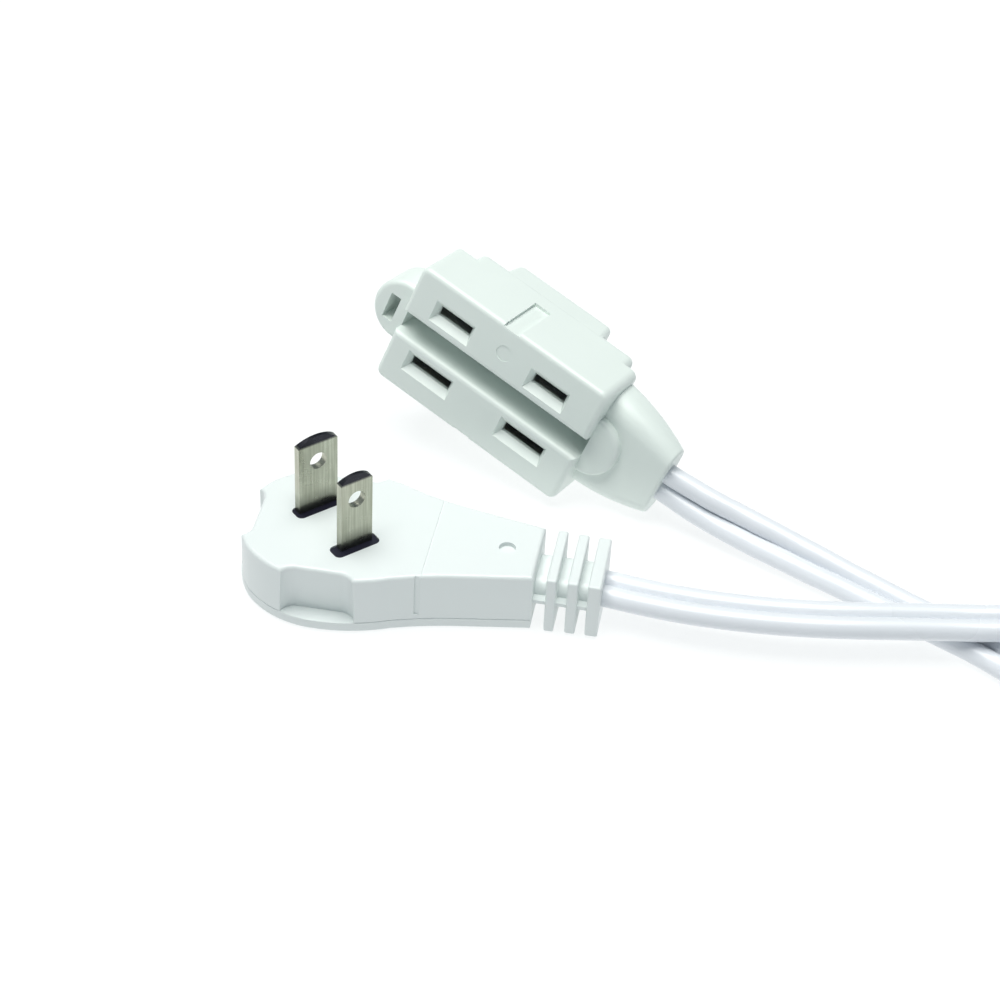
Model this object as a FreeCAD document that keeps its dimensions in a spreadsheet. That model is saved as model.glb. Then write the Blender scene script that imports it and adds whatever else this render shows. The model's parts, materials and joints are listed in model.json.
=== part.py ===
import FreeCAD
import math
import os
import re
import Part
import Sketcher
from FreeCAD import Placement, Rotation, Vector

# A three-outlet household extension cord, in millimetres, +Z up.
# The outlet block, called the tap, lies tilted on the floor at z = 0 with +X along it to its cord.
# The tap's pieces are drawn with x along the block, y across its rails and z out of its front face.
# The plug's pieces are drawn with x along the plug to its cord, y across it and z out of its face.

SIZES = {
    # the tap's housing
    "tap_left": 20.7, "tap_right": 21.9, "tap_half_width": 13.05, "front_depth": 12.5,
    "corner_radius": 1.6, "edge_radius": 1.0, "groove_width": 4.6, "groove_depth": 7.5,
    "outlet_spacing": 21.9, "blade_spacing": 12.7,
    "line_slot_length": 7.3, "neutral_slot_length": 9.0, "slot_width": 2.0,
    "bevel_margin": 0.8, "bevel_width": 4.7, "bevel_depth": 1.4,
    "notch_width": 3.6, "notch_depth": 0.6,
    "mark_x": 0.6, "mark_y": 7.6, "mark_radius": 1.6, "mark_depth": 0.12,
    "ear_radius": 6.2, "ear_centre": 21.9, "ear_front": 2.7,
    "left_ear_thickness": 9.0, "right_ear_thickness": 5.5,
    "hang_hole_width": 2.2, "hang_hole_height": 5.5, "hang_hole_x": 24.0,
    "rear_left": 16.7, "rear_right": 19.3, "rear_depth": 4.5, "rear_half_width": 12.9,
    "boss_depth": 9.0, "boss_left": 11.6, "boss_right": 12.6, "boss_taper": 1.2,
    "rear_rounding": 1.5, "boss_rounding": 1.3,
    "wall": 1.5, "cavity_near": 3.6, "cavity_far": 11.2, "cavity_roof": 2.2,
    "cavity_margin": 0.3,
    # the tap's moulded neck
    "neck_length": 15.1, "root_half_width": 11.0, "root_half_depth": 5.0, "root_axis": 9.6,
    "waist_x": 28.0, "waist_half_width": 10.2, "waist_half_depth": 4.5, "waist_axis": 9.0,
    "tip_half_width": 7.35, "tip_half_depth": 3.2, "tip_axis": 8.05,
    # current-carrying pieces
    "strip_width": 5.2, "strip_thickness": 0.8, "leaf_length": 5.0, "leaf_thickness": 0.5,
    "leaf_gap": 1.3, "carrier_thickness": 1.2,
    "wire_radius": 1.0, "crimp_radius": 1.5, "crimp_length": 4.0, "conductor_pitch": 3.9,
    # the plug
    "plug_thickness": 12.0, "flange_thickness": 2.2, "parting_radius": 0.2,
    "plug_length": 36.8, "plug_neck_half": 7.1,
    "scallop_width": 13.6, "scallop_floor": 13.3, "scallop_tilt": 6.0, "scallop_corner": 3.0,
    "end_scallop_width": 14.0, "end_scallop_floor": 14.0,
    "dimple_radius": 1.5, "dimple_depth": 0.8, "dimple_x": 31.0, "seam_x": 16.6, "seam_width": 1.0,
    "blade_thickness": 1.5, "line_blade_width": 6.35, "neutral_blade_width": 7.94,
    "blade_length": 15.4, "blade_shoulder": 14.0, "blade_tail": 6.5, "blade_angle": 45.0,
    "blade_hole_radius": 1.7, "blade_hole_z": 10.2,
    "pad_length": 9.1, "pad_width": 3.4, "pad_recess": 0.3, "pad_offset": 0.7,
    # the plug's segmented strain relief
    "relief_length": 11.9, "web_thickness": 0.7, "web_half_width": 6.3,
    "core_half_width": 4.6, "core_half_height": 2.9,
    # the cord and its coil
    "tube_radius": 2.5, "coil_radius": 44.0, "coil_half_width": 7.4, "coil_height": 16.6,
    "coil_x": 173.8, "coil_y": -16.2, "tie_width": 9.0, "tie_thickness": 0.8, "tie_angle": 40.0,
    # how the tap lies on the floor, and where the plug lies beside it
    "tap_x": -4.56, "tap_y": -10.51, "tap_z": 20.5, "tap_pitch": 16.85, "tap_roll": 79.02,
    "plug_x": -9.2, "plug_y": -51.46, "plug_yaw": 22.96,
}

# Ribs of the plug's strain relief: start and end along the plug, half width, half height.
RELIEF_RIBS = (
    (39.1, 40.9, 7.1, 5.9),
    (42.8, 44.7, 7.0, 5.8),
    (46.4, 48.7, 7.0, 5.7),
)

# Where the crimps on the tap's bus strips start, along the tap.
CRIMP_X = 14.6

doc = FreeCAD.newDocument("ExtensionCord")
sheet = doc.addObject("Spreadsheet::Sheet", "sizes")
NODES = []


def fill_sheet():
    for row, (name, value) in enumerate(SIZES.items(), start=1):
        sheet.set(f"A{row}", name)
        sheet.set(f"B{row}", str(value))
        sheet.setAlias(f"B{row}", name)
    doc.recompute()


def size(name):
    return float(sheet.get(name))


def bind(obj, **expressions):
    """Bind properties to expressions in the sheet's names; a dot in a path is written as __."""
    for path, expression in expressions.items():
        names = re.sub(r"[a-z]\w+", lambda m: "sizes." + m[0] if m[0] in SIZES else m[0], expression)
        obj.setExpression(path.replace("__", "."), names)


def box(name, low, extent):
    """A Part::Box from its low corner and extent, each three expressions."""
    obj = doc.addObject("Part::Box", name)
    bind(obj, Length=extent[0], Width=extent[1], Height=extent[2])
    bind(obj, Placement__Base__x=low[0], Placement__Base__y=low[1], Placement__Base__z=low[2])
    return obj


def cylinder(name, radius, height, base, direction=Vector(0, 0, 1)):
    obj = doc.addObject("Part::Cylinder", name)
    obj.Placement = Placement(Vector(), Rotation(Vector(0, 0, 1), direction))
    bind(obj, Radius=radius, Height=height)
    bind(obj, Placement__Base__x=base[0], Placement__Base__y=base[1], Placement__Base__z=base[2])
    return obj


def solid(name, shape):
    """A piece set from Part's own functions, for lofts and swept tubes."""
    obj = doc.addObject("Part::Feature", name)
    obj.Shape = shape
    return obj


def fuse(name, pieces):
    obj = doc.addObject("Part::MultiFuse", name)
    obj.Shapes = pieces
    obj.Refine = True
    return obj


def cut(name, base, tools):
    obj = doc.addObject("Part::Cut", name)
    obj.Base = base
    obj.Tool = tools[0] if len(tools) == 1 else fuse(name + "_tools", tools)
    obj.Refine = True
    return obj


def fillet(name, base, radius, chosen):
    """Round the edges of base for which chosen(edge) holds."""
    doc.recompute()
    picked = [i for i, edge in enumerate(base.Shape.Edges, start=1) if chosen(edge)]
    obj = doc.addObject("Part::Fillet", name)
    obj.Base = base
    obj.Edges = [(i, radius, radius) for i in picked]
    doc.recompute()
    return obj


def along(edge, axis):
    """True for a straight edge that runs along an axis."""
    if not isinstance(edge.Curve, (Part.Line, Part.LineSegment)):
        return False
    return abs(abs(edge.tangentAt(edge.FirstParameter).dot(axis)) - 1) < 1e-6


def at_height(edge, z):
    return abs(edge.BoundBox.ZMin - z) < 1e-4 and abs(edge.BoundBox.ZMax - z) < 1e-4


def keep(obj, node, seat=Placement()):
    """Make obj the sub-part called node, seated in the row frame."""
    obj.Label = node
    obj.Placement = seat.multiply(obj.Placement)
    NODES.append(obj)
    return obj


def origin_plane(body, role):
    return [f for f in body.Origin.OriginFeatures if f.Role == role][0]


def new_body(name):
    return doc.addObject("PartDesign::Body", name)


def new_sketch(body, name, role):
    sketch = body.newObject("Sketcher::SketchObject", name)
    sketch.AttachmentSupport = [(origin_plane(body, role), "")]
    sketch.MapMode = "FlatFace"
    return sketch


def closed_outline(sketch, points):
    """Straight lines round the points, closed."""
    for first, second in zip(points, points[1:] + points[:1]):
        sketch.addGeometry(Part.LineSegment(Vector(*first, 0), Vector(*second, 0)), False)


def pad(body, sketch, length, midplane=False):
    feature = body.newObject("PartDesign::Pad", sketch.Name + "_pad")
    feature.Profile = sketch
    feature.Midplane = midplane
    bind(feature, Length=length)
    return feature


def punch(body, sketch):
    """Pocket a sketch right through, both ways, and check that it removed material."""
    doc.recompute()
    before = body.Shape.Volume
    pocket = body.newObject("PartDesign::Pocket", sketch.Name + "_pocket")
    pocket.Profile = sketch
    pocket.Type = "ThroughAll"
    pocket.Midplane = True
    doc.recompute()
    if body.Shape.Volume > before - 0.01:
        raise RuntimeError(sketch.Name + " cut nothing")


def placed(name, piece, placement):
    """The piece again, moved."""
    obj = doc.addObject("Part::Compound", name)
    obj.Links = [piece]
    obj.Placement = placement
    return obj


def tap_seat():
    lie = Rotation(0, size("tap_pitch"), size("tap_roll"))
    return Placement(Vector(size("tap_x"), size("tap_y"), size("tap_z")), lie)


def plug_seat():
    place = Vector(size("plug_x"), size("plug_y"), size("plug_thickness"))
    return Placement(place, Rotation(Vector(0, 0, 1), size("plug_yaw")))


# ---------------------------------------------------------------- swept tubes


def rounded_path(points, name):
    """Straight runs joined by tangent arcs as large as the runs allow."""
    points = [Vector(*p) for p in points]
    edges = []
    radii = []
    start = points[0]
    for before, corner, after in zip(points, points[1:], points[2:]):
        arriving = (corner - before).normalize()
        leaving = (after - corner).normalize()
        turn = arriving.getAngle(leaving)
        reach = 0.45 * min((corner - before).Length, (after - corner).Length)
        radius = reach / math.tan(turn / 2)
        inward = (leaving - arriving).normalize()
        middle = corner + inward * (radius / math.cos(turn / 2) - radius)
        arc_start = corner - arriving * reach
        arc_end = corner + leaving * reach
        edges.append(Part.LineSegment(start, arc_start).toShape())
        edges.append(Part.Arc(arc_start, middle, arc_end).toShape())
        radii.append(round(radius, 1))
        start = arc_end
    edges.append(Part.LineSegment(start, points[-1]).toShape())
    print(name, "radii", radii)
    return Part.Wire(edges)


def tube(points, radius, name):
    """A round tube along the rounded path, checked against section times length."""
    path = rounded_path(points, name)
    direction = Vector(*points[1]) - Vector(*points[0])
    ring = Part.Wire(Part.makeCircle(radius, Vector(*points[0]), direction))
    swept = path.makePipeShell([ring], True, False)
    wanted = math.pi * radius**2 * path.Length
    print(name, "length", round(path.Length, 1), "volume ratio", round(swept.Volume / wanted, 4))
    return solid(name, swept)


# ------------------------------------------------------------------- the tap


def rounded_rectangle(x, half_y, centre_z, half_z, radius):
    """A rounded rectangle in the plane at x, as a wire."""
    corners = []
    for sy, sz in ((1, 1), (-1, 1), (-1, -1), (1, -1)):
        corners.append((sy * (half_y - radius), centre_z + sz * (half_z - radius), sy, sz))
    edges = []
    for i, (y, z, sy, sz) in enumerate(corners):
        first = Vector(x, y + (radius * sy if i % 2 == 0 else 0), z + (0 if i % 2 == 0 else radius * sz))
        last = Vector(x, y + (0 if i % 2 == 0 else radius * sy), z + (radius * sz if i % 2 == 0 else 0))
        bulge = Vector(x, y + radius * sy * math.sqrt(0.5), z + radius * sz * math.sqrt(0.5))
        edges.append(Part.Arc(first, bulge, last).toShape())
        y2, z2, sy2, sz2 = corners[(i + 1) % 4]
        following = Vector(
            x,
            y2 + (radius * sy2 if (i + 1) % 2 == 0 else 0),
            z2 + (0 if (i + 1) % 2 == 0 else radius * sz2),
        )
        edges.append(Part.LineSegment(last, following).toShape())
    return Part.Wire(Part.__sortEdges__(edges))


def outlet_slot(name, x, side, length, top, facing):
    """A blade slot with its lead-in bevel; side is +1 on the line rail and -1 on the neutral rail."""
    y = f"{side} * blade_spacing / 2"
    bevel = doc.addObject("Part::Wedge", name + "_bevel")
    half_outer = f"{length} / 2 + bevel_margin"
    bind(bevel, Xmin=f"-({half_outer})", Xmax=half_outer, Zmin="-bevel_width / 2", Zmax="bevel_width / 2")
    bind(bevel, X2min=f"-{length} / 2", X2max=f"{length} / 2")
    bind(bevel, Z2min="-slot_width / 2", Z2max="slot_width / 2", Ymin="-0.01", Ymax="bevel_depth")
    bevel.Placement = Placement(Vector(), Rotation(Vector(1, 0, 0), -90 * facing))
    bind(bevel, Placement__Base__x=x, Placement__Base__y=y, Placement__Base__z=top)
    low = (f"{x} - {length} / 2", f"{y} - slot_width / 2", f"{top} - 3.2" if facing > 0 else top)
    slot = box(name + "_slot", low, (length, "slot_width", "3.2"))
    return [bevel, slot]


def front_outlets():
    tools = []
    for i, x in enumerate(("-outlet_spacing / 2", "outlet_spacing / 2")):
        tools += outlet_slot(f"front_line_{i}", x, 1, "line_slot_length", "0", 1)
        tools += outlet_slot(f"front_neutral_{i}", x, -1, "neutral_slot_length", "0", 1)
    return tools


def rail_cavity(name, side):
    low_y = "cavity_near" if side > 0 else "-cavity_far"
    low = ("cavity_margin - rear_left", low_y, "-front_depth")
    length = "rear_left + rear_right - cavity_margin * 2"
    extent = (length, "cavity_far - cavity_near", "front_depth - cavity_roof")
    return box(name, low, extent)


def ear(name, side, block):
    """A rounded ear on the block's end; the left one is cut through to hang the tap up."""
    thickness = name + "_thickness"
    base = (f"{side} * ear_centre", "0", f"-(ear_front + {thickness})")
    disc = cylinder(name + "_disc", "ear_radius", thickness, base)
    rounded = fillet(name + "_rounded", disc, size("edge_radius"), lambda e: e.BoundBox.DiagonalLength > 8)
    return cut(name + "_trimmed", rounded, [block])


def front_shell(wires):
    width = "2 * tap_half_width"
    length = "tap_left + tap_right"
    corner = ("-tap_left", "-tap_half_width", "-front_depth")
    block = box("front_block", corner, (length, width, "front_depth"))
    groove = box("groove", ("-50", "-groove_width / 2", "-groove_depth"), ("100", "groove_width", "20"))
    corners = fillet("front_corners", block, size("corner_radius"), lambda e: along(e, Vector(0, 0, 1)))
    railed = cut("front_railed", corners, [groove])
    rim = fillet("front_rim", railed, size("edge_radius"), lambda e: at_height(e, 0))
    ears = [ear("left_ear", -1, block), ear("right_ear", 1, block)]
    whole = fuse("front_whole", [rim] + ears)
    hang = box(
        "hang_hole",
        ("-hang_hole_x - hang_hole_width / 2", "-hang_hole_height / 2 - 0.4", "-20"),
        ("hang_hole_width", "hang_hole_height", "20"),
    )
    mark = cylinder("ejector_mark", "mark_radius", "2", ("mark_x", "mark_y", "-mark_depth"))
    tools = [hang, mark, rail_cavity("line_cavity", 1), rail_cavity("neutral_cavity", -1)]
    tools += front_outlets()
    for side in (1, -1):
        low_y = "tap_half_width - notch_depth" if side > 0 else "-tap_half_width - 1"
        low = ("-notch_width / 2", low_y, "0.5 - front_depth")
        tools.append(box(f"notch_{side + 1}", low, ("notch_width", "notch_depth + 1", "front_depth + 1")))
    return keep(cut("front_shell", whole, tools + wires), "tap_front_shell", tap_seat())


def behind_front(edge):
    return edge.BoundBox.ZMin < -size("front_depth") - 0.1


def rear_shell():
    """The rear half: a stepped back and the raised third outlet."""
    step_low = ("-rear_left", "-rear_half_width", "-(front_depth + rear_depth)")
    step = box("rear_step", step_low, ("rear_left + rear_right", "2 * rear_half_width", "rear_depth"))
    step = fillet("rear_step_rounded", step, size("rear_rounding"), behind_front)
    boss = doc.addObject("Part::Wedge", "rear_boss")
    bind(boss, Xmin="-boss_left", Xmax="boss_right", Zmin="-rear_half_width", Zmax="rear_half_width")
    bind(boss, X2min="boss_taper - boss_left", X2max="boss_right - boss_taper")
    bind(boss, Z2min="0.2 - rear_half_width", Z2max="rear_half_width - 0.2", Ymin="0", Ymax="boss_depth")
    boss.Placement = Placement(Vector(), Rotation(Vector(1, 0, 0), -90))
    bind(boss, Placement__Base__z="-front_depth")
    boss = fillet("rear_boss_rounded", boss, size("boss_rounding"), behind_front)
    cavity = box(
        "rear_cavity",
        ("wall - rear_left", "-cavity_far", "wall - front_depth - rear_depth"),
        ("rear_left + rear_right - 2 * wall", "2 * cavity_far", "rear_depth - wall"),
    )
    well = box(
        "rear_well",
        ("-7.6", "-cavity_far", "wall - front_depth - boss_depth"),
        ("16", "2 * cavity_far", "boss_depth - wall"),
    )
    tools = [cavity, well]
    back = "-(front_depth + boss_depth)"
    tools += outlet_slot("rear_line", "0.5", 1, "line_slot_length", back, -1)
    tools += outlet_slot("rear_neutral", "0.5", -1, "neutral_slot_length", back, -1)
    return keep(cut("rear_shell", fuse("rear_whole", [step, boss]), tools), "tap_rear_shell", tap_seat())


def tap_neck(wires):
    root_x = size("tap_right")
    root_depth = size("root_half_depth")
    root = rounded_rectangle(root_x, size("root_half_width"), -size("root_axis"), root_depth, 4.0)
    tip_x = root_x + size("neck_length")
    tip = rounded_rectangle(tip_x, size("tip_half_width"), -size("tip_axis"), size("tip_half_depth"), 3.0)
    waist = rounded_rectangle(
        size("waist_x"), size("waist_half_width"), -size("waist_axis"), size("waist_half_depth"), 3.8
    )
    loft = solid("neck_loft", Part.makeLoft([root, waist, tip], True, False))
    rounded = fillet("neck_rounded", loft, 0.6, lambda e: e.BoundBox.XMin > tip_x - 0.01)
    base = ("ear_centre", "0", "-(ear_front + right_ear_thickness)")
    ear_room = cylinder("ear_room", "ear_radius", "right_ear_thickness + ear_front", base)
    return keep(cut("neck", rounded, [ear_room] + wires), "tap_neck", tap_seat())


def contact_carrier():
    """The insulating plate that backs the two bus strips."""
    plate = box(
        "carrier_plate",
        ("wall - rear_left + 0.1", "0.1 - cavity_far", "-front_depth - carrier_thickness"),
        ("rear_left + rear_right - 2 * wall - 0.2", "2 * cavity_far - 0.2", "carrier_thickness"),
    )
    holes = []
    for side in (1, -1):
        low = ("-2.8", f"{side} * blade_spacing / 2 - 2", "-front_depth - 5")
        holes.append(box(f"carrier_hole_{side + 1}", low, ("6.6", "4", "8")))
    return keep(cut("carrier", plate, holes), "tap_contact_carrier", tap_seat())


def bus_strip(node, side):
    half = size("strip_width") / 2
    left = 2 * size("cavity_margin") - size("rear_left")
    right = size("rear_right") - 2 * size("cavity_margin")
    body = new_body(node)
    outline = new_sketch(body, node + "_outline", "XY_Plane")
    closed_outline(outline, [(left, -half), (right, -half), (right, half), (left, half)])
    pad(body, outline, "strip_thickness")
    body.Placement.Base = Vector(0, side * size("blade_spacing") / 2, -size("front_depth"))
    return keep(body, node, tap_seat())


def contact(node, x, side, facing):
    """A sprung brass jaw: a flat base and two leaves that pinch near their flared tips."""
    reach = 6.0 if facing > 0 else 4.8
    outer = size("leaf_gap") / 2 + size("leaf_thickness")
    inner = size("leaf_gap") / 2
    half = [
        (outer + 0.5, 0), (outer + 0.5, reach * 0.55), (outer, reach * 0.85), (outer + 0.6, reach),
        (inner + 0.6, reach), (inner, reach * 0.85), (inner + 0.5, reach * 0.55), (inner + 0.5, 0.5),
    ]
    body = new_body(node)
    profile = new_sketch(body, node + "_profile", "YZ_Plane")
    closed_outline(profile, half + [(-y, z) for y, z in reversed(half)])
    pad(body, profile, "leaf_length", midplane=True)
    base = -size("front_depth") + size("strip_thickness") if facing > 0 else -size("front_depth")
    turn = Rotation(Vector(1, 0, 0), 0 if facing > 0 else 180)
    body.Placement = Placement(Vector(x, side * size("blade_spacing") / 2, base), turn)
    return keep(body, node, tap_seat())


def tap_contacts():
    x = size("outlet_spacing") / 2
    for rail, side in (("line", 1), ("neutral", -1)):
        contact(f"tap_{rail}_contact_1", -x, side, 1)
        contact(f"tap_{rail}_contact_2", x, side, 1)
        contact(f"tap_{rail}_contact_3", 0.5, side, -1)


def crimp(node, start, seat):
    """A barrel crimped round a wire's end, along x."""
    outer = cylinder(node + "_outer", "crimp_radius", "crimp_length", start, Vector(1, 0, 0))
    inner = cylinder(node + "_inner", "wire_radius", "crimp_length", start, Vector(1, 0, 0))
    return keep(cut(node, outer, [inner]), node, seat)


def tap_wire(name, side):
    """From the crimp on the bus strip, under the ear, to the cord's end at the neck's tip."""
    y = side * size("blade_spacing") / 2
    near = side * size("conductor_pitch") / 2
    z = size("strip_thickness") + size("crimp_radius") - size("front_depth")
    tip = size("tap_right") + size("neck_length")
    level = -size("tip_axis")
    points = [(CRIMP_X, y, z), (22.0, y, z), (28.0, near * 1.1, level - 0.3), (tip, near, level)]
    return tube(points, size("wire_radius"), name)


# ------------------------------------------------------------------ the plug


def plug_outline(sketch):
    """Half of a round-nosed outline that narrows to the neck, and its mirror image."""
    neck = (size("plug_length"), size("plug_neck_half"))
    arcs = (
        ((-13.6, 9.6), (-8.0, 13.9), (0.2, 15.5)),
        ((0.2, 15.5), (7.0, 14.6), (12.6, 12.6)),
        ((12.6, 12.6), (18.6, 10.7), (25.0, 9.3)),
    )
    sketch.addGeometry(Part.Arc(Vector(-13.6, -9.6, 0), Vector(-16.8, 0, 0), Vector(-13.6, 9.6, 0)), False)
    for mirror in (1, -1):
        for first, middle, last in arcs:
            three = [Vector(x, mirror * y, 0) for x, y in (first, middle, last)]
            sketch.addGeometry(Part.Arc(*three), False)
        shoulder = Vector(25.0, mirror * 9.3, 0)
        sketch.addGeometry(Part.LineSegment(shoulder, Vector(neck[0], mirror * neck[1], 0)), False)
    sketch.addGeometry(Part.LineSegment(Vector(*neck, 0), Vector(neck[0], -neck[1], 0)), False)


def plug_block(name, low, height):
    body = new_body(name)
    sketch = new_sketch(body, name + "_outline", "XY_Plane")
    plug_outline(sketch)
    pad(body, sketch, height)
    bind(body, Placement__Base__z=low)
    return body


def side_scallop(side):
    """A finger recess that deepens towards the flange."""
    cutter = box(f"scallop_{side + 1}", ("0", "0", "0"), ("scallop_width", "20", "40"))
    cutter = fillet(
        f"scallop_{side + 1}_rounded", cutter, size("scallop_corner"),
        lambda e: along(e, Vector(0, 0, 1)) and e.BoundBox.YMin < 1,
    )
    tilt = Rotation(Vector(1, 0, 0), -size("scallop_tilt"))
    down = tilt.multVec(Vector(-size("scallop_width") / 2, 0, -20))
    face = Vector(0, size("scallop_floor"), 0)
    cutter.Placement = Placement(face + down, tilt)
    if side < 0:
        turned = Placement(Vector(), Rotation(Vector(0, 0, 1), 180))
        cutter.Placement = turned.multiply(cutter.Placement)
    return cutter


def end_scallop():
    low = ("-end_scallop_floor - 20", "-end_scallop_width / 2", "-20")
    cutter = box("end_scallop", low, ("20", "end_scallop_width", "40"))
    return fillet(
        "end_scallop_rounded", cutter, size("scallop_corner"),
        lambda e: along(e, Vector(0, 0, 1)) and e.BoundBox.XMin > -size("end_scallop_floor") - 1,
    )


def blade_place(side):
    """Where a blade stands: side is +1 for the line blade and -1 for the neutral one."""
    turn = Rotation(Vector(0, 0, 1), size("blade_angle"))
    offset = turn.multVec(Vector(0, -side * size("blade_spacing") / 2, 0))
    return Placement(offset, turn)


def blade(node, side, width):
    """A flat blade with a rounded, bevelled tip and a round hole, drawn in its own xz plane."""
    body = new_body(node)
    profile = new_sketch(body, node + "_profile", "XZ_Plane")
    half = size(width) / 2
    tail = -size("blade_tail")
    shoulder = size("blade_shoulder")
    tip = Vector(0, size("blade_length"), 0)
    profile.addGeometry(Part.LineSegment(Vector(-half, tail, 0), Vector(half, tail, 0)), False)
    profile.addGeometry(Part.LineSegment(Vector(half, tail, 0), Vector(half, shoulder, 0)), False)
    profile.addGeometry(Part.Arc(Vector(half, shoulder, 0), tip, Vector(-half, shoulder, 0)), False)
    profile.addGeometry(Part.LineSegment(Vector(-half, shoulder, 0), Vector(-half, tail, 0)), False)
    pad(body, profile, "blade_thickness", midplane=True)
    hole = new_sketch(body, node + "_hole", "XZ_Plane")
    radius = size("blade_hole_radius")
    hole.addGeometry(Part.Circle(Vector(0, size("blade_hole_z"), 0), Vector(0, 0, 1), radius), False)
    hole.addConstraint(Sketcher.Constraint("Radius", 0, radius))
    hole.addConstraint(Sketcher.Constraint("DistanceY", -1, 1, 0, 3, size("blade_hole_z")))
    hole.addConstraint(Sketcher.Constraint("PointOnObject", 0, 3, -2))
    bind(hole, **{"Constraints[0]": "blade_hole_radius", "Constraints[1]": "blade_hole_z"})
    punch(body, hole)
    skin = size("blade_thickness") / 2
    for face in (1, -1):
        bevel = new_sketch(body, f"{node}_bevel_{face + 1}", "YZ_Plane")
        wedge = [(skin, shoulder), (skin * 3, shoulder), (skin * 3, tip.y + 1), (skin * 0.3, tip.y + 0.3)]
        closed_outline(bevel, [(face * y, z) for y, z in wedge])
        punch(body, bevel)
    body.Placement = blade_place(side)
    return keep(body, node, plug_seat())


def blade_slot(name, side, width):
    """The room that a blade takes in the pieces it stands in."""
    low = (f"-{width} / 2", "-blade_thickness / 2", "-blade_tail")
    room = box(name + "_room", low, (width, "blade_thickness", "blade_tail + 2"))
    return placed(name, room, blade_place(side))


def blade_pad(name, side):
    """The dark rounded pad that shows in the plug's face round one blade."""
    low = ("-pad_length / 2 - 0.4", "-pad_width / 2 - pad_offset", "-3")
    room = box(name + "_room", low, ("pad_length", "pad_width", "3"))
    rounded = fillet(name + "_rounded", room, 1.1, lambda e: along(e, Vector(0, 0, 1)))
    return placed(name, rounded, blade_place(side))


def insert_block(name):
    """The stiff block that holds both blades inside the plug."""
    block = box(name + "_room", ("-5.5", "-10", "-8"), ("11", "20", "6"))
    turn = Rotation(Vector(0, 0, 1), size("blade_angle"))
    return placed(name, block, Placement(Vector(), turn))


def blade_insert(crimps_and_wires):
    pads = [blade_pad("insert_line_pad", 1), blade_pad("insert_neutral_pad", -1)]
    recess = box("pad_recess_room", ("-20", "-20", "-pad_recess"), ("40", "40", "5"))
    tools = [
        recess,
        blade_slot("insert_line_slot", 1, "line_blade_width"),
        blade_slot("insert_neutral_slot", -1, "neutral_blade_width"),
    ]
    whole = fuse("insert_whole", [insert_block("insert_block")] + pads)
    return keep(cut("insert", whole, tools + crimps_and_wires), "plug_blade_insert", plug_seat())


def plug_front_shell(crimps_and_wires):
    rise = "plug_thickness - flange_thickness"
    block = plug_block("plug_upper", "flange_thickness - plug_thickness", rise)
    seam = size("flange_thickness") - size("plug_thickness")
    footed = fillet("plug_upper_foot", block, size("parting_radius"), lambda e: at_height(e, seam))
    scalloped = cut("plug_scalloped", footed, [side_scallop(1), side_scallop(-1), end_scallop()])
    softened = fillet("plug_softened", scalloped, 0.7, lambda e: at_height(e, 0))
    tools = [
        cylinder("dimple", "dimple_radius", "dimple_depth + 1", ("dimple_x", "0", "-dimple_depth")),
        insert_block("shell_block_room"),
        blade_pad("shell_line_pad", 1),
        blade_pad("shell_neutral_pad", -1),
        box("seam_line", ("seam_x + seam_width", "-15", "-0.15"), ("0.3", "30", "1")),
    ]
    for side in (1, -1):
        low_y = "10.9" if side > 0 else "-12.9"
        seam_low = ("seam_x", low_y, "1 - plug_thickness + flange_thickness")
        tools.append(box(f"seam_{side + 1}", seam_low, ("seam_width", "2", "20")))
    return keep(cut("plug_shell", softened, tools + crimps_and_wires), "plug_front_shell", plug_seat())


def plug_back_plate():
    """The plain flange behind the finger recesses, which lies on the floor."""
    block = plug_block("plug_lower", "-plug_thickness", "flange_thickness")
    rim = fillet("plug_lower_rim", block, 0.7, lambda e: at_height(e, -size("plug_thickness")))
    seam = size("flange_thickness") - size("plug_thickness")
    topped = fillet("plug_lower_top", rim, size("parting_radius"), lambda e: at_height(e, seam))
    return keep(topped, "plug_back_plate", plug_seat())


def strain_relief(wires):
    """Separate ribs on a flat web and a core, which let the cord bend."""
    middle = "-plug_thickness / 2"
    web = box(
        "relief_web",
        ("plug_length", "-web_half_width", f"{middle} - web_thickness / 2"),
        ("relief_length - 0.2", "2 * web_half_width", "web_thickness"),
    )
    core = box(
        "relief_core_block",
        ("plug_length", "-core_half_width", f"{middle} - core_half_height"),
        ("relief_length", "2 * core_half_width", "2 * core_half_height"),
    )
    core = fillet("relief_core", core, 2.2, lambda e: along(e, Vector(1, 0, 0)))
    ribs = []
    for i, (start, end, half_width, half_height) in enumerate(RELIEF_RIBS):
        low = (f"{start}", f"-{half_width}", f"{middle} - {half_height}")
        rib = box(f"relief_rib_{i}", low, (f"{end - start}", f"{2 * half_width}", f"{2 * half_height}"))
        ribs.append(fillet(f"relief_rib_{i}_rounded", rib, 0.4, lambda e: True))
    whole = fuse("relief_whole", [web, core] + ribs)
    return keep(cut("relief", whole, wires), "plug_strain_relief", plug_seat())


def plug_wire(name, points):
    near = math.copysign(size("conductor_pitch") / 2, points[0][1])
    middle = -size("plug_thickness") / 2
    end = size("plug_length") + size("relief_length")
    return tube(points + [(27, near, middle), (end, near, middle)], size("wire_radius"), name)


# ------------------------------------------------------------------ the cord


def neck_exit():
    tip = size("tap_right") + size("neck_length")
    return tap_seat().multVec(Vector(tip, 0, -size("tip_axis")))


def relief_exit():
    end = size("plug_length") + size("relief_length")
    return plug_seat().multVec(Vector(end, 0, -size("plug_thickness") / 2))


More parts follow.
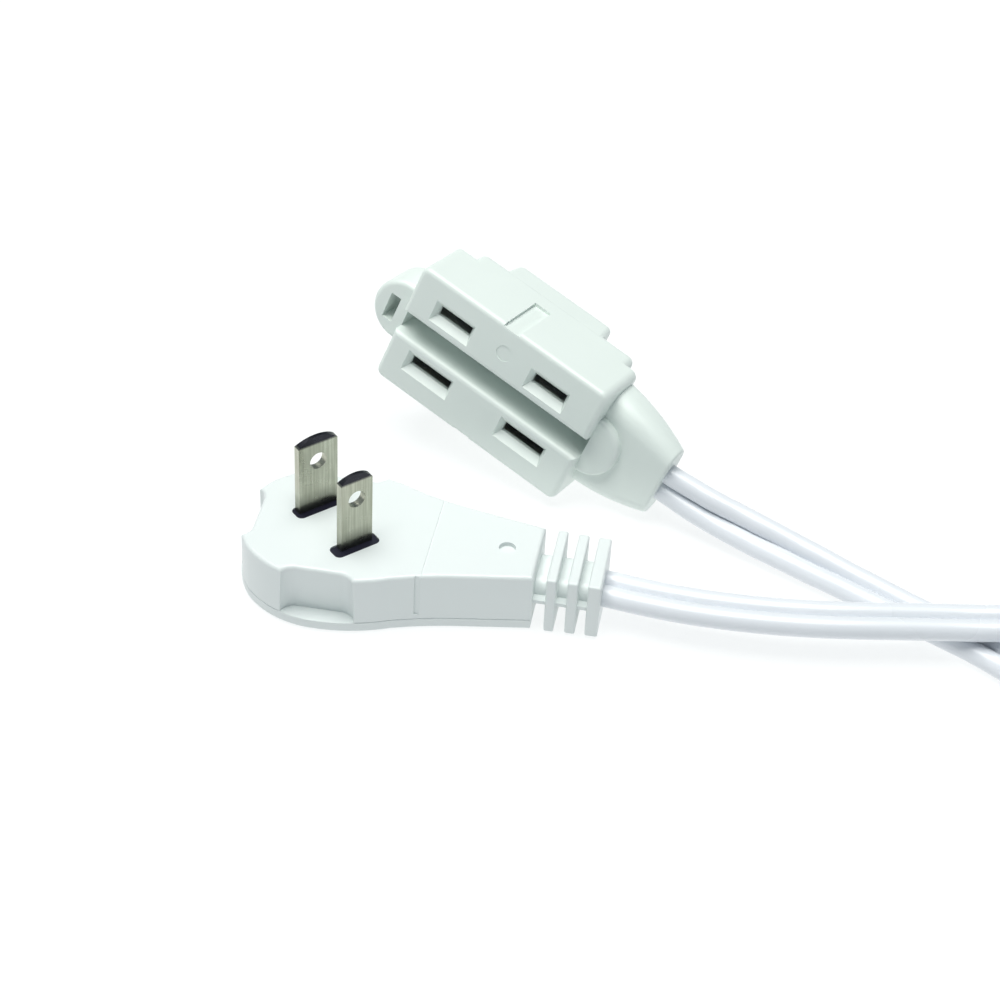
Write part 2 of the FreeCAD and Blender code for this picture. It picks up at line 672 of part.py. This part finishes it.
def tap_run_points():
    """From the tap's neck down to the floor and along it to the coil."""
    exit_point = neck_exit()
    return [
        tuple(exit_point),
        (43.3, -1.9, 4.5),
        (58.3, -1.6, 2.8),
        (80.5, -2.4, 2.6),
        (101.4, -4.4, 2.6),
        (111.4, -7.9, 2.6),
        (119.9, -14.7, 2.6),
        (125.5, -23.6, 2.6),
        (128.0, -32.6, 2.6),
    ]


def plug_run_points():
    """From the plug's relief over the tap's cord and round to the coil."""
    exit_point = relief_exit()
    return [
        tuple(exit_point),
        (47.9, -29.3, 6.4),
        (62.8, -22.9, 8.4),
        (76.5, -15.5, 10.2),
        (88.5, -6.9, 10.9),
        (104.5, 3.3, 10.7),
        (119.5, 12.0, 9.8),
        (134.5, 20.0, 10.1),
        (146.6, 26.1, 11.6),
    ]


def coil(runs, tie_room):
    """The outer shape of the wound cord, with room for the two runs and the tie."""
    centre = ("coil_x", "coil_y", "0")
    outer = cylinder("coil_outer", "coil_radius + coil_half_width", "coil_height", centre)
    inner = cylinder("coil_inner", "coil_radius - coil_half_width", "coil_height", centre)
    ring = cut("coil_ring", outer, [inner])
    rounded = fillet("coil_rounded", ring, 2.5, lambda e: e.Closed)
    return keep(cut("coil", rounded, runs + [tie_room]), "cord_coil")


def coil_tie():
    """A flat strap closed round the coil's bundle."""
    turn = Rotation(Vector(0, 0, 1), size("tie_angle"))
    place = Placement(Vector(size("coil_x"), size("coil_y"), 0), turn)
    near = "coil_radius - coil_half_width - tie_thickness"
    strap = box(
        "strap_outer",
        (near, "-tie_width / 2", "0"),
        ("2 * coil_half_width + 2.4 * tie_thickness", "tie_width", "coil_height + tie_thickness"),
    )
    window = box(
        "strap_window",
        (f"{near} + tie_thickness", "-tie_width", "tie_thickness"),
        ("2 * coil_half_width + 0.4 * tie_thickness", "2 * tie_width", "coil_height - tie_thickness"),
    )
    return keep(cut("strap", strap, [window]), "coil_tie", place)


# ---------------------------------------------------------------------- main


def check(objects):
    for obj in doc.Objects:
        if "Invalid" in obj.State or "Error" in obj.State:
            raise RuntimeError(f"{obj.Name} is {obj.State}")
    for obj in objects:
        shape = obj.Shape
        if shape.isNull() or not shape.isValid() or len(shape.Solids) != 1:
            raise RuntimeError(f"{obj.Label}: {len(shape.Solids)} solids, valid {shape.isValid()}")


def build_tap():
    seat = tap_seat()
    wires = [tap_wire("line_wire_path", 1), tap_wire("neutral_wire_path", -1)]
    front_shell(wires)
    rear_shell()
    tap_neck(wires)
    contact_carrier()
    bus_strip("line_bus_strip", 1)
    bus_strip("neutral_bus_strip", -1)
    tap_contacts()
    z = "strip_thickness + crimp_radius - front_depth"
    for rail, sign, wire in (("line", "", wires[0]), ("neutral", "-", wires[1])):
        crimp(f"tap_{rail}_crimp", (f"{CRIMP_X}", f"{sign}blade_spacing / 2", z), seat)
        keep(solid(f"tap_{rail}_wire", wire.Shape.copy()), f"tap_{rail}_wire", seat)


def build_plug():
    seat = plug_seat()
    starts = {"line": (7.0, -2.3, -5.0), "neutral": (-1.4, 7.4, -5.0)}
    wires = {
        "line": plug_wire("plug_line_path", [starts["line"], (15.0, -2.3, -5.0)]),
        "neutral": plug_wire("plug_neutral_path", [starts["neutral"], (6.0, 7.4, -5.0), (16.0, 4.0, -5.6)]),
    }
    rooms = []
    for pole, start in starts.items():
        at = tuple(str(value) for value in start)
        room = cylinder(f"plug_{pole}_crimp_room", "crimp_radius", "crimp_length", at, Vector(1, 0, 0))
        rooms.append(room)
        rooms.append(wires[pole])
        crimp(f"plug_{pole}_crimp", at, seat)
        keep(solid(f"plug_{pole}_wire", wires[pole].Shape.copy()), f"plug_{pole}_wire", seat)
    blade("line_blade", 1, "line_blade_width")
    blade("neutral_blade", -1, "neutral_blade_width")
    blade_insert(rooms)
    plug_front_shell(rooms)
    plug_back_plate()
    strain_relief(list(wires.values()))


def build_cord():
    tap_run = tube(tap_run_points(), size("tube_radius"), "cord_tap_run")
    plug_run = tube(plug_run_points(), size("tube_radius"), "cord_plug_run")
    tie = coil_tie()
    coil([tap_run, plug_run], tie)
    keep(tap_run, "cord_tap_run")
    keep(plug_run, "cord_plug_run")


def main():
    fill_sheet()
    build_tap()
    build_plug()
    build_cord()
    doc.recompute()
    check(NODES)
    os.makedirs("parts", exist_ok=True)
    for obj in NODES:
        obj.Shape.exportStep(f"parts/{obj.Label}.step")
    print(len(NODES), "sub-parts written")


main()
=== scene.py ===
import json
import math

import bpy
from mathutils import Matrix, Vector

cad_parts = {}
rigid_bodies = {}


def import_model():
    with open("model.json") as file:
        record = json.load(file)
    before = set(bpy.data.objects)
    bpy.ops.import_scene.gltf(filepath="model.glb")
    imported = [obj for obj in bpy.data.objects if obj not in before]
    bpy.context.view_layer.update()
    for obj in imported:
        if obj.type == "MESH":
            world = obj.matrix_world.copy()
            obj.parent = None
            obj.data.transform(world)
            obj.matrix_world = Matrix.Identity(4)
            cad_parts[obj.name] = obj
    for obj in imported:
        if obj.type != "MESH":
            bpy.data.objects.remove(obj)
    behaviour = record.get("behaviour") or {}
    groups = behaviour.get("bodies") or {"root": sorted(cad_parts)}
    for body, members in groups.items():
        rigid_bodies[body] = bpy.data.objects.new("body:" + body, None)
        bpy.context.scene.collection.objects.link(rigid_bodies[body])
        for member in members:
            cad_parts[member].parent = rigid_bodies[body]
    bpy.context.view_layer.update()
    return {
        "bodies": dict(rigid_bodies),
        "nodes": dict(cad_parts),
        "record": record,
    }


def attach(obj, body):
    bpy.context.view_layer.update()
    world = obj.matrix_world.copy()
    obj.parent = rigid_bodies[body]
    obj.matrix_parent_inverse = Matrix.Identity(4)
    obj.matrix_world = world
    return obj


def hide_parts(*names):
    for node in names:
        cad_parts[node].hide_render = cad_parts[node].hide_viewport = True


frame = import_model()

BODY = list(frame["bodies"])[0]
NODES = frame["nodes"]
SCENE = bpy.context.scene

# ------------------------------------------------------------------ camera and studio

CAMERA_AT = (0.18468, -0.31715, 0.28339)
CAMERA_RIGHT = (0.8379, 0.5442, 0.0417)
CAMERA_FORWARD = (-0.4017, 0.6667, -0.6278)
LENS_MM = 86.4
SENSOR_MM = 36.0

FLOOR_HALF = 3.0
FLOOR_DROP = 0.0002

def make_camera():
    data = bpy.data.cameras.new("camera")
    data.lens = LENS_MM
    data.sensor_width = SENSOR_MM
    data.clip_start = 0.02
    data.clip_end = 20.0
    camera = bpy.data.objects.new("camera", data)
    SCENE.collection.objects.link(camera)
    right = Vector(CAMERA_RIGHT).normalized()
    forward = Vector(CAMERA_FORWARD).normalized()
    up = right.cross(forward)
    place = Matrix((right, up, -forward)).transposed().to_4x4()
    place.translation = Vector(CAMERA_AT)
    camera.matrix_world = place
    SCENE.camera = camera


def area_light(name, where, aim, size, power, colour):
    data = bpy.data.lights.new(name, "AREA")
    data.shape = "RECTANGLE"
    data.size, data.size_y = size
    data.energy = power
    data.color = colour
    light = bpy.data.objects.new(name, data)
    SCENE.collection.objects.link(light)
    light.location = where
    light.rotation_euler = (Vector(aim) - Vector(where)).to_track_quat("-Z", "Y").to_euler()


def make_studio():
    world = bpy.data.worlds.new("studio")
    world.use_nodes = True
    background = world.node_tree.nodes["Background"]
    background.inputs["Color"].default_value = (0.74, 0.88, 1.0, 1)
    background.inputs["Strength"].default_value = 0.20
    SCENE.world = world
    SCENE.view_settings.view_transform = "Standard"
    area_light("overhead", (-0.08, -0.05, 1.0), (0, 0, 0), (0.8, 0.8), 12.4, (1.0, 1.0, 0.97))
    area_light("left_fill", (-0.9, -0.35, 0.5), (0, 0, 0.01), (0.7, 0.7), 0.3, (0.97, 0.99, 1.0))

    mesh = bpy.data.meshes.new("floor")
    half = FLOOR_HALF
    corners = [(-half, -half, 0), (half, -half, 0), (half, half, 0), (-half, half, 0)]
    mesh.from_pydata(corners, [], [(0, 1, 2, 3)])
    floor = bpy.data.objects.new("floor", mesh)
    SCENE.collection.objects.link(floor)
    floor.location.z = -FLOOR_DROP
    material = bpy.data.materials.new("floor_white")
    material.use_nodes = True
    shader = material.node_tree.nodes["Principled BSDF"]
    shader.inputs["Base Color"].default_value = (0.20, 0.20, 0.20, 1)
    shader.inputs["Roughness"].default_value = 0.8
    shader.inputs["Emission Color"].default_value = (0.98, 1.0, 1.0, 1)
    shader.inputs["Emission Strength"].default_value = 0.82
    mesh.materials.append(material)


# ------------------------------------------------------------------ materials


class Shader:
    """A material's node tree, with short names for what the materials below need."""

    def __init__(self, name):
        self.material = bpy.data.materials.new(name)
        self.material.use_nodes = True
        self.tree = self.material.node_tree
        self.bsdf = self.tree.nodes["Principled BSDF"]
        self.place = self.tree.nodes.new("ShaderNodeTexCoord").outputs["Object"]

    def set(self, **values):
        for name, value in values.items():
            self.bsdf.inputs[name.replace("_", " ")].default_value = value

    def noise(self, scale, detail=3.0, stretch=None):
        node = self.tree.nodes.new("ShaderNodeTexNoise")
        node.inputs["Scale"].default_value = scale
        node.inputs["Detail"].default_value = detail
        source = self.place
        if stretch:
            mapping = self.tree.nodes.new("ShaderNodeMapping")
            mapping.inputs["Scale"].default_value = stretch
            self.tree.links.new(source, mapping.inputs["Vector"])
            source = mapping.outputs["Vector"]
        self.tree.links.new(source, node.inputs["Vector"])
        return node.outputs["Fac"]

    def spread(self, value, low, high, start=0.3, end=0.7):
        node = self.tree.nodes.new("ShaderNodeMapRange")
        node.inputs["From Min"].default_value = start
        node.inputs["From Max"].default_value = end
        node.inputs["To Min"].default_value = low
        node.inputs["To Max"].default_value = high
        self.tree.links.new(value, node.inputs["Value"])
        return node.outputs["Result"]

    def blend(self, value, first, second):
        node = self.tree.nodes.new("ShaderNodeMix")
        node.data_type = "RGBA"
        node.inputs["A"].default_value = (*first, 1)
        node.inputs["B"].default_value = (*second, 1)
        self.tree.links.new(value, node.inputs["Factor"])
        return node.outputs["Result"]

    def mix(self, value, first, second):
        """As blend, with the first colour coming from another node."""
        node = self.tree.nodes.new("ShaderNodeMix")
        node.data_type = "RGBA"
        node.inputs["B"].default_value = (*second, 1)
        self.tree.links.new(first, node.inputs["A"])
        self.tree.links.new(value, node.inputs["Factor"])
        return node.outputs["Result"]

    def bump(self, height, strength, distance, under=None):
        node = self.tree.nodes.new("ShaderNodeBump")
        node.inputs["Strength"].default_value = strength
        node.inputs["Distance"].default_value = distance
        self.tree.links.new(height, node.inputs["Height"])
        if under:
            self.tree.links.new(under, node.inputs["Normal"])
        return node.outputs["Normal"]

    def wire(self, **links):
        for name, output in links.items():
            self.tree.links.new(output, self.bsdf.inputs[name.replace("_", " ")])


def plastic(name, light, dark, rough, grain, depth):
    """Moulded plastic: faint mottling, a fine mould texture and a slow ripple under the gloss."""
    shader = Shader(name)
    shader.set(IOR=1.5)
    mottle = shader.spread(shader.noise(60.0, 4.0), 0.0, 1.0, 0.0, 1.0)
    polish = shader.spread(shader.noise(240.0, 3.0), rough - 0.08, rough + 0.1, 0.0, 1.0)
    ripple = shader.bump(shader.noise(130.0, 2.0), 0.08, 0.0003)
    texture = shader.bump(shader.noise(grain, 2.0), depth, 0.00005, ripple)
    shader.wire(Base_Color=shader.blend(mottle, dark, light), Roughness=polish, Normal=texture)
    return shader.material


# Heights in metres between which the blades darken: painted shade at the foot, where the blade
# stands out of the plug, and a painted dark reflection just under the tip.
BLADE_FOOT_SHADE = (0.012, 0.0160)
BLADE_TIP_REFLECTION = (0.0259, 0.0263)


def nickel():
    """Stamped and plated strip: fine lengthwise draw lines, with painted shade at the foot and a
    painted dark reflection at the tip.
    """
    shader = Shader("blade_nickel")
    shader.set(Metallic=1.0)
    lines = shader.noise(3000.0, 2.0, (1.0, 1.0, 0.03))
    streaks = shader.spread(lines, 0.0, 1.0, 0.35, 0.65)
    plate = shader.blend(streaks, (0.52, 0.53, 0.44), (0.39, 0.40, 0.32))
    height = shader.tree.nodes.new("ShaderNodeSeparateXYZ")
    shader.tree.links.new(shader.place, height.inputs["Vector"])
    # painted shade: the blade darkens towards its foot, where it stands out of the plug
    foot = shader.spread(height.outputs["Z"], 1.0, 0.0, *BLADE_FOOT_SHADE)
    foot_shaded = shader.mix(foot, plate, (0.20, 0.21, 0.17))
    # painted dark reflection: the crown turns near-black just under the tip
    tip = shader.spread(height.outputs["Z"], 0.0, 1.0, *BLADE_TIP_REFLECTION)
    tone = shader.mix(tip, foot_shaded, (0.06, 0.06, 0.07))
    rough = shader.spread(shader.noise(500.0, 2.0), 0.24, 0.4)
    shader.wire(Base_Color=tone, Roughness=rough, Normal=shader.bump(lines, 0.12, 0.00003))
    return shader.material


def brass():
    shader = Shader("contact_brass")
    shader.set(Metallic=1.0)
    tarnish = shader.spread(shader.noise(180.0, 4.0), 0.0, 1.0)
    tone = shader.blend(tarnish, (0.30, 0.20, 0.08), (0.14, 0.09, 0.04))
    rough = shader.spread(shader.noise(420.0, 3.0), 0.25, 0.45)
    shader.wire(Base_Color=tone, Roughness=rough)
    return shader.material


def finish_node(node, material):
    mesh = NODES[node].data
    mesh.materials.clear()
    mesh.materials.append(material)


def finish_nodes():
    tap = plastic("tap_plastic", (0.79, 0.86, 0.82), (0.76, 0.83, 0.79), 0.34, 1500.0, 0.10)
    plug = plastic("plug_plastic", (0.79, 0.84, 0.83), (0.77, 0.82, 0.81), 0.32, 1700.0, 0.10)
    insert = plastic("insert_plastic", (0.012, 0.012, 0.03), (0.008, 0.008, 0.02), 0.4, 1500.0, 0.2)
    carrier = plastic("carrier_plastic", (0.05, 0.05, 0.05), (0.04, 0.04, 0.04), 0.5, 1500.0, 0.2)
    wire = plastic("wire_insulation", (0.8, 0.8, 0.79), (0.77, 0.77, 0.76), 0.4, 1500.0, 0.1)
    tie = plastic("tie_paper", (0.82, 0.82, 0.8), (0.78, 0.78, 0.76), 0.5, 900.0, 0.3)
    by_slot = {
        "tap_plastic": tap,
        "plug_plastic": plug,
        "insert_plastic": insert,
        "carrier_plastic": carrier,
        "wire_insulation": wire,
        "tie_paper": tie,
        "blade_nickel": nickel(),
        "contact_brass": brass(),
    }
    for part in frame["record"]["subparts"]:
        if part["material_slot"] in by_slot:
            finish_node(part["node"], by_slot[part["material_slot"]])


# ------------------------------------------------------------------ the cord

LOBE_RADIUS = 0.00199
LOBE_OFFSET = 0.00195
LOBE_STEPS = 16
ROUTE_RESOLUTION = 16

# Route points in metres, each with the cord's lean: 0 lies flat and 90 stands on its edge.
TAP_RUN = (
    ((0.0293, -0.0026, 0.0086), 79),
    ((0.0304, -0.0026, 0.0083), 79),
    ((0.0384, -0.0024, 0.0062), 68),
    ((0.0477, -0.0018, 0.0045), 48),
    ((0.0590, -0.0015, 0.0032), 24),
    ((0.0700, -0.0017, 0.0024), 8),
    ((0.0820, -0.0022, 0.0020), 0),
    ((0.0930, -0.0030, 0.0021), 2),
    ((0.1014, -0.0041, 0.0027), 20),
    ((0.1114, -0.0078, 0.0036), 50),
    ((0.1199, -0.0146, 0.0042), 75),
    ((0.1255, -0.0235, 0.0047), 88),
)
PLUG_RUN = (
    ((0.1390, 0.0212, 0.0120), 80),
    ((0.1265, 0.0148, 0.0106), 55),
    ((0.1150, 0.0083, 0.0090), 25),
    ((0.1045, 0.0034, 0.0077), 6),
    ((0.0960, -0.0017, 0.0067), 0),
    ((0.0872, -0.0074, 0.0067), 0),
    ((0.0734, -0.0174, 0.0071), 0),
    ((0.0629, -0.0234, 0.0070), 0),
    ((0.0526, -0.0279, 0.0067), 0),
    ((0.0438, -0.0306, 0.0063), 0),
    ((0.0356, -0.0325, 0.0060), 0),
    ((0.0343, -0.0330, 0.0060), 0),
)
COIL_CENTRE = Vector((0.1738, -0.0162, 0.0))
COIL_COLUMNS = (0.0483, 0.0440, 0.0397)
COIL_LAYERS = (0.0048, 0.0126)
COIL_START = math.radians(195.0)
COIL_TURNS = 5.786
POINTS_PER_TURN = 16
# A spline of this order lies this far inside the corners of a ring of control points.
RING_SHRINK = 0.25 * (3.0 + math.cos(2.0 * math.pi / POINTS_PER_TURN))


def coil_lane(turn):
    """Radius and height of the cord after that many turns: in along the bottom, out on top."""
    lanes = [(radius, COIL_LAYERS[0]) for radius in COIL_COLUMNS]
    lanes += [(radius, COIL_LAYERS[1]) for radius in reversed(COIL_COLUMNS)]
    index = int(turn)
    radius, height = lanes[index]
    shift = (turn - index - 0.85) / 0.15
    if shift > 0 and index + 1 < len(lanes):
        next_radius, next_height = lanes[index + 1]
        radius += (next_radius - radius) * shift
        height += (next_height - height) * shift
    return radius, height


def coil_run():
    run = []
    steps = round(COIL_TURNS * POINTS_PER_TURN)
    for step in range(steps + 1):
        turn = COIL_TURNS * step / steps
        radius, height = coil_lane(turn)
        angle = COIL_START + 2.0 * math.pi * turn
        offset = Vector((math.cos(angle), math.sin(angle), 0.0)) * (radius / RING_SHRINK)
        point = COIL_CENTRE + offset
        run.append(((point.x, point.y, height), 90))
    return run


def spline_points(points, resolution):
    """The points of one smooth open NURBS curve with these control points."""
    curve = bpy.data.curves.new("route", "CURVE")
    curve.dimensions = "3D"
    spline = curve.splines.new("NURBS")
    spline.points.add(len(points) - 1)
    for target, point in zip(spline.points, points):
        target.co = (*point, 1.0)
    spline.order_u = 3
    spline.use_endpoint_u = True
    spline.resolution_u = resolution
    holder = bpy.data.objects.new("route", curve)
    line = bpy.data.meshes.new_from_object(holder)
    route = [vertex.co.copy() for vertex in line.vertices]
    bpy.data.objects.remove(holder)
    bpy.data.meshes.remove(line)
    return route


def lean_along(leans, count):
    """The lean at each of count points spread along the spline of these control points."""
    last = len(leans) - 2
    result = []
    for index in range(count):
        at = last * index / (count - 1) + 0.5
        if at < 1.0:
            at = 2.0 * (at - 0.5)
        elif at > last:
            at = last + 2.0 * (at - last)
        low = min(int(at), len(leans) - 2)
        share = at - low
        share = share * share * (3.0 - 2.0 * share)
        result.append(leans[low] + (leans[low + 1] - leans[low]) * share)
    return result


def cord_section():
    """Two round lobes joined by a thin web, as (width, thickness) points."""
    meet = math.acos(LOBE_OFFSET / LOBE_RADIUS)
    sweep = math.pi - meet
    lobe = []
    for step in range(LOBE_STEPS + 1):
        angle = -sweep + 2.0 * sweep * step / LOBE_STEPS
        across = LOBE_OFFSET + LOBE_RADIUS * math.cos(angle)
        lobe.append((max(across, 0.00004), LOBE_RADIUS * math.sin(angle)))
    return lobe + [(-across, -height) for across, height in lobe]


def sweep_mesh(name, route, leans, section):
    vertices = []
    faces = []
    ring = len(section)
    up = Vector((0.0, 0.0, 1.0))
    for index, point in enumerate(route):
        before = route[max(index - 1, 0)]
        after = route[min(index + 1, len(route) - 1)]
        ahead = (after - before).normalized()
        level = up.cross(ahead).normalized()
        raised = ahead.cross(level)
        lean = math.radians(leans[index])
        wide = level * math.cos(lean) + raised * math.sin(lean)
        thick = ahead.cross(wide)
        vertices += [point + wide * across + thick * height for across, height in section]
        if index:
            start = (index - 1) * ring
            for side in range(ring):
                near, far = start + side, start + (side + 1) % ring
                faces.append((near, far, far + ring, near + ring))
    faces.append(tuple(reversed(range(ring))))
    faces.append(tuple(range(len(vertices) - ring, len(vertices))))
    mesh = bpy.data.meshes.new(name)
    mesh.from_pydata(vertices, [], faces)
    mesh.polygons.foreach_set("use_smooth", [True] * len(mesh.polygons))
    mesh.set_sharp_from_angle(angle=math.radians(45.0))
    piece = bpy.data.objects.new(name, mesh)
    SCENE.collection.objects.link(piece)
    return piece


def cord_material():
    """Glossy vinyl: slow waves in the jacket and a slowly varying polish."""
    shader = Shader("cord_jacket")
    shader.set(IOR=1.53, Coat_Weight=0.15, Coat_Roughness=0.12)
    mottle = shader.spread(shader.noise(70.0, 2.0), 0.0, 1.0, 0.0, 1.0)
    polish = shader.spread(shader.noise(60.0, 1.0), 0.24, 0.32, 0.0, 1.0)
    waves = shader.bump(shader.noise(60.0, 0.0), 0.04, 0.0003)
    tone = shader.blend(mottle, (0.78, 0.81, 0.85), (0.82, 0.85, 0.89))
    shader.wire(Base_Color=tone, Roughness=polish, Normal=waves)
    return shader.material


def make_cord():
    controls = list(TAP_RUN) + coil_run() + list(PLUG_RUN)
    points = [point for point, _ in controls]
    leans = [lean for _, lean in controls]
    route = spline_points(points, ROUTE_RESOLUTION)
    piece = sweep_mesh("cord", route, lean_along(leans, len(route)), cord_section())
    piece.data.materials.append(cord_material())
    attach(piece, BODY)
    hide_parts("cord_tap_run", "cord_coil", "cord_plug_run")


# ------------------------------------------------------------------ the scene

make_camera()
make_studio()
make_cord()
finish_nodes()
